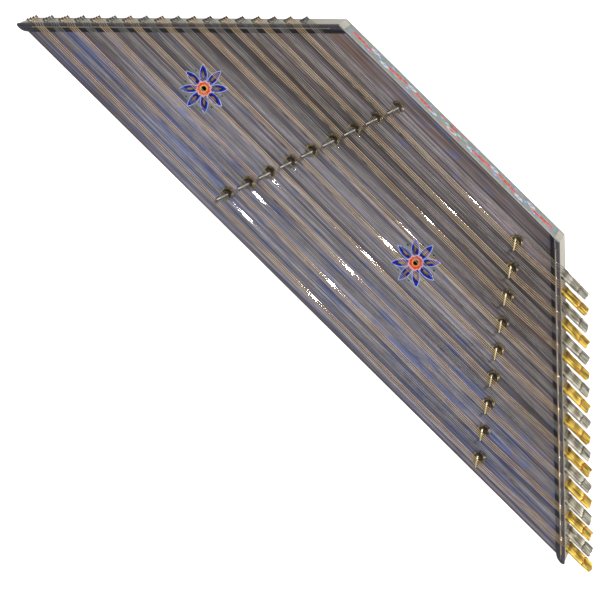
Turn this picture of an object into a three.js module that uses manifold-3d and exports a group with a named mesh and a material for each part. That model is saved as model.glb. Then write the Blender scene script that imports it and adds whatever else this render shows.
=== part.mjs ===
// Hammered dulcimer of the Persian santur pattern, in millimetres, +Z up.
// X runs along the strings, Y from the player's long side to the short side.
// The origin is the middle of the flat underside.
import * as THREE from "three";
import { mergeVertices } from "three/addons/utils/BufferGeometryUtils.js";
import Module from "manifold-3d";

const wasm = await Module();
wasm.setup();

// ---- Driving dimensions, mm ----
const LONG_SIDE = 900;
const SHORT_SIDE = 358;
const CASE_DEPTH = 266;
const CASE_HEIGHT = 60;
const BOARD_THICKNESS = 5;
const RAIL_THICKNESS = 8;
const PIN_BLOCK_WIDTH = 40;
const HITCH_BLOCK_WIDTH = 28;
const BOARD_TIP_RADIUS = 1.5;
const GAP = 0.3; // left between neighbouring pieces

const COURSES = 18; // even ones brass, odd ones steel
const STRINGS_PER_COURSE = 4;
const FIRST_COURSE_Y = -116;
const COURSE_PITCH = 13.45;
const STRING_SPACING = 2.2;
const STRING_RADIUS = 0.45;

const BRIDGE_HEIGHT = 21.6; // to the axis of the saddle rod
const BRIDGE_SIDES = 8;
const SADDLE_LENGTH = 15;
const STEEL_SADDLE_SHIFT = -2; // of a steel bridge's saddle rod along its row
const SADDLE_RADIUS = 1.3;
const BRIDGE_TRAVEL = 8; // each way, along the strings
const LEFT_ROW_X = -101.2; // where the steel bridges' row crosses Y = 0
const LEFT_ROW_LEAN = 0.334; // X gained per mm of Y
const RIGHT_ROW_X = 211.4; // where the brass bridges' row crosses Y = 0
const RIGHT_ROW_LEAN = -0.69;

const NUT_WIDTH = 10.4;
const NUT_CREST = 4; // from the outer edge to the nut rod
const NUT_CREST_HEIGHT = 6;
const NUT_OVERHANG = 4; // past the long side
const NUT_TIP_RADIUS = 3;
const NUT_ROD_RADIUS = 0.9;
const NUT_ROD_HEIGHT = 6.6; // of its axis above the strip's foot
const LEFT_ROD_ENDS = [-121, 127]; // along Y
const RIGHT_ROD_ENDS = [-126, 129];

const PIN_RADIUS = 2.5;
const PIN_SHAFT = 28; // outside the block
const PIN_HEAD = 12;
const PIN_TIP_RADIUS = 1.9;
const PIN_BURIED = 30; // inside the block, for the pins that turn
const PIN_TOP_DEPTH = 13; // of the highest pin under the playing side
const PIN_STEP_Z = 9.8;
const PIN_SHIFT_Y = -7.5; // from the middle of the course to its column of pins

const HITCH_RADIUS = 1.1;
const HITCH_EXPOSED = 5;
const HITCH_TOP_DEPTH = 12;
const HITCH_STEP_Z = 12.8;
const HITCH_SHIFT_Y = -10; // from the middle of the course to its column of pins

// Hidden plates that join pins inside the blocks.
const PIN_TIE = { across: 12, thickness: 3, low: 14.5, high: 40.3 };
const HITCH_TIE = { across: 6, thickness: 2, low: 7.6, high: 50 };

// A petal's recess runs outwards from the rosette's middle, open-bellied and pointed.
const ROSETTE_PETALS = 8;
const PETAL_ROOT = 12;
const PETAL_ROOT_HALF = 2.3;
const PETAL_BELLY = { along: 17, out: 4.7 }; // control point of each side's curve
const PETAL_TIP = 28;
const PETAL_DEPTH = 2.5;
const ROSETTE_HOLE_RADIUS = 3;
const ROSETTES = [
  [-240, -33],
  [78, -3],
];

const POST_RADIUS = 6;
const POSTS = {
  sound_post_left_front: [-120, -70],
  sound_post_left_rear: [-78, 60],
  sound_post_centre: [40, -75],
  sound_post_right_front: [240, -60],
  sound_post_right_rear: [165, 55],
};

// ---- Derived places ----
const FRONT_Y = -CASE_DEPTH / 2;
const REAR_Y = CASE_DEPTH / 2;
const SIDE_RUN = (LONG_SIDE - SHORT_SIDE) / 2;
const SIDE_ANGLE = Math.atan2(CASE_DEPTH, SIDE_RUN);
const SIDE_LENGTH = Math.hypot(CASE_DEPTH, SIDE_RUN);
const TOP = CASE_HEIGHT;
const CORE_LOW = BOARD_THICKNESS + GAP;
const CORE_HIGH = CASE_HEIGHT - BOARD_THICKNESS - GAP;
const FOOT_Z = TOP + GAP; // where nut strips and bridges stand
const SADDLE_Z = FOOT_Z + BRIDGE_HEIGHT;
const OVER_SADDLE_Z = SADDLE_Z + SADDLE_RADIUS + GAP + STRING_RADIUS;
const OVER_NUT_Z = FOOT_Z + NUT_ROD_HEIGHT + NUT_ROD_RADIUS + GAP + STRING_RADIUS;

const courseY = (course) => FIRST_COURSE_Y + course * COURSE_PITCH;
const isBrass = (course) => course % 2 === 0;
const halfWidth = (y) => SHORT_SIDE / 2 + (REAR_Y - y) / Math.tan(SIDE_ANGLE);
// Distance along X that crosses a band of the given width beside a slanted side.
const acrossInX = (width) => width / Math.sin(SIDE_ANGLE);
const rowX = (course) =>
  isBrass(course)
    ? RIGHT_ROW_X + courseY(course) * RIGHT_ROW_LEAN
    : LEFT_ROW_X + courseY(course) * LEFT_ROW_LEAN;

// ---- Materials ----
const material = (color, roughness, metalness = 0) =>
  new THREE.MeshStandardMaterial({ color, roughness, metalness });
const DARK_WOOD = material("#4f4750", 0.45);
const PALE_WOOD = material("#b5b2a6", 0.6);
const INNER_WOOD = material("#c2ab86", 0.7);
const STRIP_WOOD = material("#2b2a33", 0.4);
const BRIDGE_WOOD = material("#1d1815", 0.3);
const STEEL = material("#c9c9c4", 0.25, 1);
const BRASS = material("#d9b23f", 0.25, 1);

// ---- Solids ----
const toSolid = (geometry) => {
  const bare = geometry.clone();
  bare.deleteAttribute("normal");
  bare.deleteAttribute("uv");
  const merged = mergeVertices(bare, 1e-4);
  return new wasm.Manifold(
    new wasm.Mesh({
      numProp: 3,
      vertProperties: merged.attributes.position.array,
      triVerts: new Uint32Array(merged.index.array),
    }),
  );
};

const toGeometry = (solid) => {
  const { vertProperties, triVerts } = solid.getMesh();
  const geometry = new THREE.BufferGeometry();
  geometry.setAttribute("position", new THREE.BufferAttribute(vertProperties, 3));
  geometry.setIndex(new THREE.BufferAttribute(triVerts, 1));
  geometry.computeVertexNormals();
  return geometry;
};

const joined = (solids) => solids.reduce((whole, solid) => whole.add(solid));

const prism = (shape, low, high, curveSegments = 4) => {
  const options = { depth: high - low, bevelEnabled: false, curveSegments };
  return new THREE.ExtrudeGeometry(shape, options).translate(0, 0, low);
};

const polygon = (points) =>
  new THREE.Shape(points.map(([x, y]) => new THREE.Vector2(x, y)));

// A round bar whose axis is parallel to X, one facet facing up.
const barAlongX = (xLow, xHigh, y, z, radius, sides) =>
  new THREE.CylinderGeometry(radius, radius, xHigh - xLow, sides)
    .rotateY(Math.PI / sides)
    .rotateZ(Math.PI / 2)
    .translate((xLow + xHigh) / 2, y, z);

const barAlongZ = (x, y, low, high, radius, sides) =>
  new THREE.CylinderGeometry(radius, radius, high - low, sides)
    .rotateX(Math.PI / 2)
    .translate(x, y, (low + high) / 2);

// Frame of a slanted side: X inwards across it, Y up, Z along it, at the middle of its top edge.
const sideFrame = (side) => {
  const inward = new THREE.Vector3(
    -side * Math.sin(SIDE_ANGLE),
    -Math.cos(SIDE_ANGLE),
    0,
  );
  const up = new THREE.Vector3(0, 0, 1);
  const along = inward.clone().cross(up);
  return new THREE.Matrix4()
    .makeBasis(inward, up, along)
    .setPosition(side * halfWidth(0), 0, FOOT_Z);
};

// ---- Case ----
// The case's plan between two Y values, its two sharp tips rounded.
const casePlan = (frontY, tipRadius) => {
  const tipY = frontY + tipRadius;
  const tipX = halfWidth(tipY) - acrossInX(tipRadius);
  const sideNormal = Math.PI / 2 - SIDE_ANGLE;
  const shape = new THREE.Shape();
  shape.moveTo(-tipX, frontY);
  shape.absarc(tipX, tipY, tipRadius, -Math.PI / 2, sideNormal, false);
  shape.lineTo(halfWidth(REAR_Y), REAR_Y);
  shape.lineTo(-halfWidth(REAR_Y), REAR_Y);
  shape.absarc(-tipX, tipY, tipRadius, Math.PI - sideNormal, 1.5 * Math.PI, false);
  return shape;
};

const backBoard = () =>
  prism(casePlan(FRONT_Y, BOARD_TIP_RADIUS), 0, BOARD_THICKNESS);

// One pointed petal lying along +X from the middle of its rosette.
const petalShape = () => {
  const { along, out } = PETAL_BELLY;
  const shape = new THREE.Shape();
  shape.moveTo(PETAL_ROOT, -PETAL_ROOT_HALF);
  shape.quadraticCurveTo(along, -out, PETAL_TIP, 0);
  shape.quadraticCurveTo(along, out, PETAL_ROOT, PETAL_ROOT_HALF);
  return shape;
};

const soundboard = () => {
  const low = TOP - BOARD_THICKNESS;
  const above = TOP + 1;
  const cuts = ROSETTES.flatMap(([x, y]) => {
    const petals = Array.from({ length: ROSETTE_PETALS }, (_, i) =>
      prism(petalShape(), TOP - PETAL_DEPTH, above, 5)
        .rotateZ((i * 2 * Math.PI) / ROSETTE_PETALS)
        .translate(x, y, 0),
    );
    return [...petals, barAlongZ(x, y, low - 1, above, ROSETTE_HOLE_RADIUS, 12)];
  });
  return cuts
    .map(toSolid)
    .reduce(
      (board, cut) => board.subtract(cut),
      toSolid(prism(casePlan(FRONT_Y, BOARD_TIP_RADIUS), low, TOP)),
    );
};

// Plan of a rail that fills the space between the two slanted blocks.
const railPlan = (yLow, yHigh) => {
  const left = (y) => -halfWidth(y) + acrossInX(HITCH_BLOCK_WIDTH + GAP);
  const right = (y) => halfWidth(y) - acrossInX(PIN_BLOCK_WIDTH + GAP);
  return polygon([
    [left(yLow), yLow],
    [right(yLow), yLow],
    [right(yHigh), yHigh],
    [left(yHigh), yHigh],
  ]);
};

const rail = (yLow, yHigh) => prism(railPlan(yLow, yHigh), CORE_LOW, CORE_HIGH);

// Plan of a band that follows a slanted side, between two distances in from it.
const bandPlan = (side, near, far, yLow, yHigh) => {
  const x = (y, across) => side * (halfWidth(y) - acrossInX(across));
  const corners = [
    [x(yLow, near), yLow],
    [x(yHigh, near), yHigh],
    [x(yHigh, far), yHigh],
    [x(yLow, far), yLow],
  ];
  return polygon(side > 0 ? corners : corners.reverse());
};

const columnShift = (side) => (side > 0 ? PIN_SHIFT_Y : HITCH_SHIFT_Y);
const tieLow = (side) => courseY(0) + columnShift(side) - 3;
const tieHigh = (side) => courseY(COURSES - 1) + columnShift(side) + 3;

// The plate that joins a set of pins, or the pocket that holds it when grown by the gap.
const tie = (side, plate, grow) =>
  prism(
    bandPlan(
      side,
      plate.across - grow,
      plate.across + plate.thickness + grow,
      tieLow(side) - grow,
      tieHigh(side) + grow,
    ),
    plate.low - grow,
    plate.high + grow,
  );

// ---- Pins ----
const forEachString = (make, wanted = () => true) => {
  const made = [];
  for (let course = 0; course < COURSES; course += 1) {
    for (let string = 0; string < STRINGS_PER_COURSE; string += 1) {
      if (wanted(course, string)) made.push(make(course, string));
    }
  }
  return made;
};

const fromMiddle = (string) => string - (STRINGS_PER_COURSE - 1) / 2;
const turns = (course, string) => string === 0;

const tuningPinPlace = (course, string) => {
  const y = courseY(course) + PIN_SHIFT_Y;
  const z = TOP - PIN_TOP_DEPTH - string * PIN_STEP_Z;
  return { face: halfWidth(y), y, z };
};

const hitchPinPlace = (course, string) => {
  const y = courseY(course) + HITCH_SHIFT_Y;
  const z = TOP - HITCH_TOP_DEPTH - string * HITCH_STEP_Z;
  return { face: -halfWidth(y), y, z };
};

const pinInnerEnd = (course, string) => {
  const { face } = tuningPinPlace(course, string);
  const tieMiddle = acrossInX(PIN_TIE.across + PIN_TIE.thickness / 2);
  return face - (turns(course, string) ? PIN_BURIED : tieMiddle);
};

const pinSides = (course, string) => (turns(course, string) ? 8 : 6);

// Bore radius at its corners, so that its flats stay a gap clear of the pin's corners.
const boreRadius = (radius, sides) => (radius + GAP) / Math.cos(Math.PI / sides);

const tuningPin = (course, string) => {
  const { face, y, z } = tuningPinPlace(course, string);
  const shoulder = face + PIN_SHAFT;
  const inner = pinInnerEnd(course, string);
  const sides = pinSides(course, string);
  const tip = shoulder + PIN_HEAD;
  const profile = [
    [0, inner],
    [PIN_RADIUS, inner],
    [PIN_RADIUS, shoulder],
    [PIN_TIP_RADIUS, tip],
    [0, tip],
  ].map(([radius, x]) => new THREE.Vector2(radius, x));
  const pin = new THREE.LatheGeometry(profile, sides, Math.PI / sides)
    .rotateZ(-Math.PI / 2)
    .translate(0, y, z);
  return toSolid(pin);
};

const tuningPinBore = (course, string) => {
  const { face, y, z } = tuningPinPlace(course, string);
  const sides = pinSides(course, string);
  const radius = boreRadius(PIN_RADIUS, sides);
  const inner = pinInnerEnd(course, string) - GAP;
  return toSolid(barAlongX(inner, face + 2 * PIN_RADIUS, y, z, radius, sides));
};

const hitchPin = (course, string) => {
  const { face, y, z } = hitchPinPlace(course, string);
  const inner = face + acrossInX(HITCH_TIE.across + HITCH_TIE.thickness / 2);
  return toSolid(barAlongX(face - HITCH_EXPOSED, inner, y, z, HITCH_RADIUS, 4));
};

const hitchPinBore = (course, string) => {
  const { face, y, z } = hitchPinPlace(course, string);
  const inner = face + acrossInX(HITCH_TIE.across + HITCH_TIE.thickness / 2) + GAP;
  const radius = boreRadius(HITCH_RADIUS, 4);
  return toSolid(barAlongX(face - 2 * HITCH_RADIUS, inner, y, z, radius, 4));
};

const fixedPins = () =>
  joined([
    toSolid(tie(1, PIN_TIE, 0)),
    ...forEachString(tuningPin, (course, string) => !turns(course, string)),
  ]);

const hitchPins = () =>
  joined([toSolid(tie(-1, HITCH_TIE, 0)), ...forEachString(hitchPin)]);

const slantedBlock = (side, width, plate, bores) => {
  const plan = bandPlan(side, 0, width, FRONT_Y, REAR_Y);
  const block = toSolid(prism(plan, CORE_LOW, CORE_HIGH));
  return block.subtract(joined([toSolid(tie(side, plate, GAP)), ...bores]));
};

// ---- Nuts ----
const nutProfile = () =>
  polygon([
    [0, 0],
    [NUT_WIDTH, 0],
    [NUT_WIDTH, 1],
    [NUT_CREST + 1.5, NUT_CREST_HEIGHT],
    [NUT_CREST, NUT_CREST_HEIGHT - 1.1],
    [NUT_CREST - 1.5, NUT_CREST_HEIGHT],
    [0, 1],
  ]);

const nutStrip = (side) => {
  const reach = SIDE_LENGTH / 2 + NUT_WIDTH + NUT_OVERHANG;
  const ridge = prism(nutProfile(), -reach, reach).applyMatrix4(sideFrame(side));
  const plan = casePlan(FRONT_Y - NUT_OVERHANG, NUT_TIP_RADIUS);
  return toSolid(ridge).intersect(toSolid(prism(plan, TOP, TOP + 2 * NUT_WIDTH)));
};

const nutRod = (side, [yLow, yHigh]) => {
  const length = (yHigh - yLow) / Math.sin(SIDE_ANGLE);
  const middle = (side * (yLow + yHigh)) / 2 / Math.sin(SIDE_ANGLE);
  return new THREE.CylinderGeometry(NUT_ROD_RADIUS, NUT_ROD_RADIUS, length, 8)
    .rotateX(Math.PI / 2)
    .translate(NUT_CREST, NUT_ROD_HEIGHT, middle)
    .applyMatrix4(sideFrame(side));
};

// ---- Bridges ----
const bridge = (course) => {
  const neck = BRIDGE_HEIGHT - SADDLE_RADIUS;
  const profile = [
    [0, 0],
    [7.8, 0],
    [7.3, 2.4],
    [2.7, neck * 0.35],
    [4.8, neck * 0.85],
    [4.2, neck + 0.4],
    [0, neck + 0.4],
  ].map(([radius, height]) => new THREE.Vector2(radius, height));
  const body = new THREE.LatheGeometry(profile, BRIDGE_SIDES).rotateX(Math.PI / 2);
  const lean = isBrass(course) ? RIGHT_ROW_LEAN : LEFT_ROW_LEAN;
  const shift = isBrass(course) ? 0 : STEEL_SADDLE_SHIFT;
  const saddle = new THREE.CylinderGeometry(
    SADDLE_RADIUS,
    SADDLE_RADIUS,
    SADDLE_LENGTH,
    6,
  )
    .translate(0, shift, 0)
    .rotateZ(-Math.atan(lean))
    .translate(0, 0, BRIDGE_HEIGHT);
  return toSolid(body)
    .add(toSolid(saddle))
    .translate([rowX(course), courseY(course), FOOT_Z]);
};

// ---- Strings ----
// A path with corners: point i is met at t = i / (points - 1), and a ring there is mitred.
class CorneredPath extends THREE.Curve {
  constructor(points) {
    super();
    this.points = points;
  }

  getPoint(t, target = new THREE.Vector3()) {
    const last = this.points.length - 1;
    return target.copy(this.points[Math.round(t * last)]);
  }

  getPointAt(t, target) {
    return this.getPoint(t, target);
  }

  getTangentAt(t, target = new THREE.Vector3()) {
    const last = this.points.length - 1;
    const here = Math.round(t * last);
    const before = this.points[Math.max(here - 1, 0)];
    const after = this.points[Math.min(here + 1, last)];
    const point = this.points[here];
    const arriving = point.clone().sub(before).normalize();
    const leaving = after.clone().sub(point).normalize();
    return target.copy(arriving).add(leaving).normalize();
  }
}

// Where a string bends at a slanted side: over the nut rod, and over the case's edge.
const overNut = (side, y) =>
  new THREE.Vector3(side * (halfWidth(y) - acrossInX(NUT_CREST - 1.6)), y, OVER_NUT_Z);
const overEdge = (side, y) =>
  new THREE.Vector3(side * (halfWidth(y) + 1), y, FOOT_Z + 1.8);

const stringSection = () =>
  polygon([0, 1, 2].map((corner) => {
    const angle = (corner * 2 * Math.PI) / 3;
    return [STRING_RADIUS * Math.cos(angle), STRING_RADIUS * Math.sin(angle)];
  }));

const musicString = (course, string) => {
  const y = courseY(course) + fromMiddle(string) * STRING_SPACING;
  const hitch = hitchPinPlace(course, string);
  const pin = tuningPinPlace(course, string);
  const lean = isBrass(course) ? RIGHT_ROW_LEAN : LEFT_ROW_LEAN;
  const saddleX = rowX(course) + (y - courseY(course)) * lean;
  const flat = BRIDGE_TRAVEL + SADDLE_RADIUS + 1;
  const hitchSide = hitch.y + HITCH_RADIUS + GAP + STRING_RADIUS;
  const pinSide = pin.y + PIN_RADIUS + GAP + STRING_RADIUS;
  const path = new CorneredPath([
    new THREE.Vector3(hitch.face - HITCH_EXPOSED / 2, hitchSide, hitch.z),
    overEdge(-1, y),
    overNut(-1, y),
    new THREE.Vector3(saddleX - flat, y, OVER_SADDLE_Z),
    new THREE.Vector3(saddleX + flat, y, OVER_SADDLE_Z),
    overNut(1, y),
    overEdge(1, y),
    new THREE.Vector3(pin.face + 3.5, pinSide, pin.z),
  ]);
  const options = { steps: path.points.length - 1, extrudePath: path };
  return toSolid(new THREE.ExtrudeGeometry(stringSection(), options));
};

// The thin bar that joins the strings of one metal, beside the other metal's row of bridges.
const stringTie = (brass) => {
  const lean = brass ? LEFT_ROW_LEAN : RIGHT_ROW_LEAN;
  const middle = brass ? LEFT_ROW_X + 22 : RIGHT_ROW_X - 22;
  const height = brass ? 75.3 : 73;
  const first = courseY(brass ? 0 : 1) - 5;
  const last = courseY(brass ? COURSES - 2 : COURSES - 1) + 5;
  const x = (y) => middle + y * lean;
  const corners = [
    [x(first), first],
    [x(first) + 1.2, first],
    [x(last) + 1.2, last],
    [x(last), last],
  ];
  return toSolid(prism(polygon(corners), height, height + 1.2));
};

const stringSet = (brass) =>
  joined([
    stringTie(brass),
    ...forEachString(musicString, (course) => isBrass(course) === brass),
  ]);

// ---- Assembly ----
const santur = new THREE.Group();

const place = (name, shape, look) => {
  const geometry = shape.isBufferGeometry ? shape : toGeometry(shape);
  const mesh = new THREE.Mesh(geometry, look);
  mesh.name = name;
  santur.add(mesh);
};

place("back_board", backBoard(), INNER_WOOD);
place("soundboard", soundboard(), DARK_WOOD);
place("front_rail", rail(FRONT_Y, FRONT_Y + RAIL_THICKNESS), PALE_WOOD);
place("rear_rail", rail(REAR_Y - RAIL_THICKNESS, REAR_Y), PALE_WOOD);
place(
  "hitch_block",
  slantedBlock(-1, HITCH_BLOCK_WIDTH, HITCH_TIE, forEachString(hitchPinBore)),
  PALE_WOOD,
);
place(
  "pin_block",
  slantedBlock(1, PIN_BLOCK_WIDTH, PIN_TIE, forEachString(tuningPinBore)),
  PALE_WOOD,
);
for (const [name, [x, y]] of Object.entries(POSTS)) {
  place(name, barAlongZ(x, y, CORE_LOW, CORE_HIGH, POST_RADIUS, 10), INNER_WOOD);
}
place("nut_strip_left", nutStrip(-1), STRIP_WOOD);
place("nut_strip_right", nutStrip(1), STRIP_WOOD);
place("nut_rod_left", nutRod(-1, LEFT_ROD_ENDS), STEEL);
place("nut_rod_right", nutRod(1, RIGHT_ROD_ENDS), STEEL);
place("hitch_pins", hitchPins(), STEEL);
place("fixed_tuning_pins", fixedPins(), STEEL);

for (let course = 0; course < COURSES; course += 1) {
  const metal = isBrass(course) ? "brass" : "steel";
  const number = Math.floor(course / 2) + 1;
  place(`${metal}_bridge_${number}`, bridge(course), BRIDGE_WOOD);
  place(`${metal}_pin_${number}`, tuningPin(course, 0), isBrass(course) ? BRASS : STEEL);
}

place("brass_strings", stringSet(true), BRASS);
place("steel_strings", stringSet(false), STEEL);

export default santur;
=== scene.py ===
from math import atan2, cos, hypot, pi, radians, sin, sqrt, tan

import bmesh
import bpy
from mathutils import Matrix, Vector


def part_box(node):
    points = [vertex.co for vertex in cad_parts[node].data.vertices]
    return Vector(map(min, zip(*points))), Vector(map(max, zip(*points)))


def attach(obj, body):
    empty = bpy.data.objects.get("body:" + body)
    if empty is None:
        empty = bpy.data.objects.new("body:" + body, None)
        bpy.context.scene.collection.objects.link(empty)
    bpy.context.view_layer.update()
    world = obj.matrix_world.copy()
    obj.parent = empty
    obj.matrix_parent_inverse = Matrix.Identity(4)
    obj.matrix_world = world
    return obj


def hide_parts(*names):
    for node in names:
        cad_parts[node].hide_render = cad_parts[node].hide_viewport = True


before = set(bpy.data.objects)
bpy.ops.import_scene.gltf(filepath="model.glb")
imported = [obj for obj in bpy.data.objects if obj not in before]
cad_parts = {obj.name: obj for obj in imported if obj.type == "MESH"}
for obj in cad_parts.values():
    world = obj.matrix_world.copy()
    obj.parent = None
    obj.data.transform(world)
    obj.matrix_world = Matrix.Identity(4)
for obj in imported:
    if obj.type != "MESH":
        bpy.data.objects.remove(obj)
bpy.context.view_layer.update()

# ---- Driving dimensions, mm ----
MM = 0.001
TOUCH = 0.03  # left between pieces that rest on each other

COURSES = 18  # even ones brass, odd ones steel
STRINGS_PER_COURSE = 4
STRING_SPACING = 1.95
STRING_RADIUS = 0.36
STRING_SIDES = 6
COIL_TURNS = 4.25
COIL_PITCH = 0.8
COIL_START = 2.4  # from the case's side
BRIDGE_TRAVEL = 8

PIN_STEP = 9.8  # down each column of tuning pins
PIN_RADIUS = 2.3
COIL_RADIUS = PIN_RADIUS + STRING_RADIUS + TOUCH
PIN_SHAFT = 28
THREAD_FOOT = 9.5  # from the case's side
THREAD_PITCH = 0.8
THREADS = 6
PIN_HEAD = 12
PIN_BURIED = 12
PIN_GAP = 5  # between neighbours in a column, and so the reach of the painted shade between them

HITCH_DEPTH = 12  # of the highest hitch pin under the playing side
HITCH_STEP = 12.8
HITCH_SHIFT = 10  # from the middle of a course towards the long side
HITCH_RADIUS = 1.05
HITCH_EXPOSED = 5
HITCH_HEAD_RADIUS = 1.9
LOOP_PLANE = 2.3  # of the string's eye, from the case's side
TWIST_START = 4.2  # from the middle of the nail
TWIST_LENGTH = 7
TWIST_TURNS = 4
EYE_OPENING = 0.5  # half the angle at which the eye's two ends meet the twist

NUT_ROD_ACROSS = 4  # from the outer edge of its strip
NUT_WIDTH = 10.4
NUT_OVERHANG = 4
NUT_END_ROUNDING = 4.5

BRIDGE_BASE_RADIUS = 7.8
SADDLE_LENGTH = 15
SADDLE_RADIUS = 1.05
CRADLE_WIDTH = 4.2  # of the dark bed under a saddle rod

ROSETTES = ((-240, -33), (78, -3))
PETALS = 8
PETAL_DEPTH = 2.5
# Each outline of a petal: root, half width there, the side curve's control point, and tip.
PALE_OUTLINE = (7.6, 3.0, 19.0, 7.8, 29.8)
BLUE_OUTLINE = (7.9, 2.6, 19.0, 7.0, 28.6)
BLACK_OUTLINE = (10.2, 1.3, 17.5, 4.2, 24.0)
OPEN_OUTLINE = (12.4, 0.9, 16.5, 2.7, 21.8)
FLOWER_RADIUS = 9.2
FLOWER_SCALLOPS = 10
HOLE_RADIUS = 2.7
DOT_PLACE = 23

BAND_HALF = 171  # of the painted band on the short side
BAND_LOW = 3
BAND_HIGH = 57
BAND_CORNER = 3


# ---- Places read from the frame, mm ----
def box_mm(node):
    low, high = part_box(node)
    return low / MM, high / MM


def middle(node):
    low, high = box_mm(node)
    return (low + high) / 2


def corners_mm(node):
    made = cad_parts[node]
    return [made.matrix_world @ v.co / MM for v in made.data.vertices]


def reach(node, y):
    """The largest X of a node's corners at one Y."""
    return max(abs(c.x) for c in corners_mm(node) if abs(c.y - y) < 0.05)


def level_middle(node, highest):
    """The middle of a node's highest or lowest corners."""
    corners = corners_mm(node)
    level = (max if highest else min)(c.z for c in corners)
    flat = [c for c in corners if abs(c.z - level) < 0.05]
    spans = [(min(axis) + max(axis)) / 2 for axis in zip(*flat)]
    return Vector(spans)


TOP = box_mm("soundboard")[1].z
FRONT_Y = box_mm("pin_block")[0].y
REAR_Y = box_mm("pin_block")[1].y
FRONT_HALF = reach("pin_block", FRONT_Y)
REAR_HALF = reach("pin_block", REAR_Y)
SIDE_ANGLE = atan2(REAR_Y - FRONT_Y, FRONT_HALF - REAR_HALF)
ROD_LOW, ROD_HIGH = box_mm("nut_rod_right")
ROD_Z = (ROD_LOW.z + ROD_HIGH.z) / 2
ROD_RADIUS = (ROD_HIGH.z - ROD_LOW.z) / 2
SADDLE_TOP = box_mm("brass_bridge_1")[1].z
BRIDGE_HEIGHT = SADDLE_TOP - SADDLE_RADIUS - TOP


def half_width(y):
    return REAR_HALF + (REAR_Y - y) / tan(SIDE_ANGLE)


def side_x(side, y, across=0.0):
    """X of the line that runs beside a slanted side, some way in from it."""
    return side * (half_width(y) - across / sin(SIDE_ANGLE))


def metal_of(course):
    return "brass" if course % 2 == 0 else "steel"


def courses_of(metal_name):
    return [course for course in range(COURSES) if metal_of(course) == metal_name]


def numbered(kind, course):
    return f"{metal_of(course)}_{kind}_{course // 2 + 1}"


def bridge_foot(course):
    return level_middle(numbered("bridge", course), highest=False)


# ---- Meshes ----
class Shape:
    """Corners in millimetres, faces, and the number of each face's material."""

    def __init__(self):
        self.corners = []
        self.faces = []
        self.looks = []

    def add(self, corners, faces, look=0):
        first = len(self.corners)
        self.corners += [Vector(c) for c in corners]
        self.faces += [[first + i for i in face] for face in faces]
        self.looks += [look] * len(faces)

    def rings(self, rings, look=0, looks=None, closed=False):
        """Joins rings of corners of one size. Open runs get a face at each end."""
        count = len(rings[0])
        first = len(self.corners)
        self.corners += [Vector(c) for ring in rings for c in ring]
        spans = len(rings) if closed else len(rings) - 1
        for i in range(spans):
            here = first + i * count
            there = first + (i + 1) % len(rings) * count
            for j in range(count):
                k = (j + 1) % count
                self.faces.append([here + j, here + k, there + k, there + j])
                self.looks.append(looks[i] if looks else look)
        if not closed:
            last = first + (len(rings) - 1) * count
            self.faces.append([first + j for j in reversed(range(count))])
            self.faces.append([last + j for j in range(count)])
            self.looks += [looks[0], looks[-1]] if looks else [look, look]


def add_object(name, data):
    made = bpy.data.objects.new(name, data)
    bpy.context.scene.collection.objects.link(made)
    return made


def piece(name, shape, materials, body, slot, *replaced, sharp=35):
    """Makes a shape into an object that rides on a body and stands for CAD nodes."""
    mesh = bpy.data.meshes.new(name)
    mesh.from_pydata([c * MM for c in shape.corners], [], shape.faces)
    for material in materials:
        mesh.materials.append(material)
    mesh.polygons.foreach_set("material_index", shape.looks)
    work = bmesh.new()
    work.from_mesh(mesh)
    bmesh.ops.recalc_face_normals(work, faces=work.faces)
    for face in work.faces:
        face.smooth = True
    work.to_mesh(mesh)
    work.free()
    mesh.set_sharp_from_angle(angle=radians(sharp))
    made = add_object(name, mesh)
    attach(made, body)
    if replaced:
        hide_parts(*replaced)


def circle(count, turn=0.0):
    return [2 * pi * i / count + turn for i in range(count)]


def turned(shape, profile, sides, place, looks=None, look=0, squareness=None, turn=0.0):
    """A turned piece. The profile holds (height, radius) pairs; place puts its axis.

    squareness holds one power for each ring: 2 is round, and more is squarer.
    """
    rings = []
    for i, (height, radius) in enumerate(profile):
        power = squareness[i] if squareness else 2
        ring = []
        for angle in circle(sides):
            c, s = cos(angle), sin(angle)
            reach_out = (abs(c) ** power + abs(s) ** power) ** (-1 / power)
            out = radius * reach_out
            a = angle + turn
            ring.append(place @ Vector((out * cos(a), out * sin(a), height)))
        rings.append(ring)
    shape.rings(rings, look=look, looks=looks)


def tube(shape, path, radius, sides, look=0):
    """A round tube along a path of points, with flat ends and no twist."""
    last = len(path) - 1
    tangents = []
    for i in range(len(path)):
        step = path[min(i + 1, last)] - path[max(i - 1, 0)]
        tangents.append(step.normalized())
    across = tangents[0].orthogonal().normalized()
    rings = []
    for point, tangent in zip(path, tangents):
        across = (across - tangent * across.dot(tangent)).normalized()
        other = tangent.cross(across)
        rings.append([point + (across * cos(a) + other * sin(a)) * radius for a in circle(sides)])
    shape.rings(rings, look=look)


def rounded_rod(shape, start, end, radius, sides, look=0, steps=4):
    """A rod with domed ends between two points."""
    axis = end - start
    place = Matrix.Translation(start) @ axis.to_track_quat("Z", "Y").to_matrix().to_4x4()
    length = axis.length
    dome = [pi / 2 * (0.12 + 0.88 * i / steps) for i in range(steps + 1)]
    profile = [(radius * (1 - cos(a)) * 0.6, radius * sin(a)) for a in dome]
    profile += [(length - h, r) for h, r in reversed(profile)]
    turned(shape, profile, sides, place, look=look)


# ---- Materials ----
def feed(tree, socket, value):
    """Links or sets a node's input. A string is a hexadecimal colour."""
    if isinstance(value, bpy.types.NodeSocket):
        tree.links.new(value, socket)
    else:
        socket.default_value = rgb(value) if isinstance(value, str) else value


def add_node(tree, kind, inputs=None, **settings):
    """A shader node with its settings, and its inputs by name or number."""
    made = tree.nodes.new("ShaderNode" + kind)
    for key, value in settings.items():
        setattr(made, key, value)
    for key, value in (inputs or {}).items():
        feed(tree, made.inputs[key], value)
    return made


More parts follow.
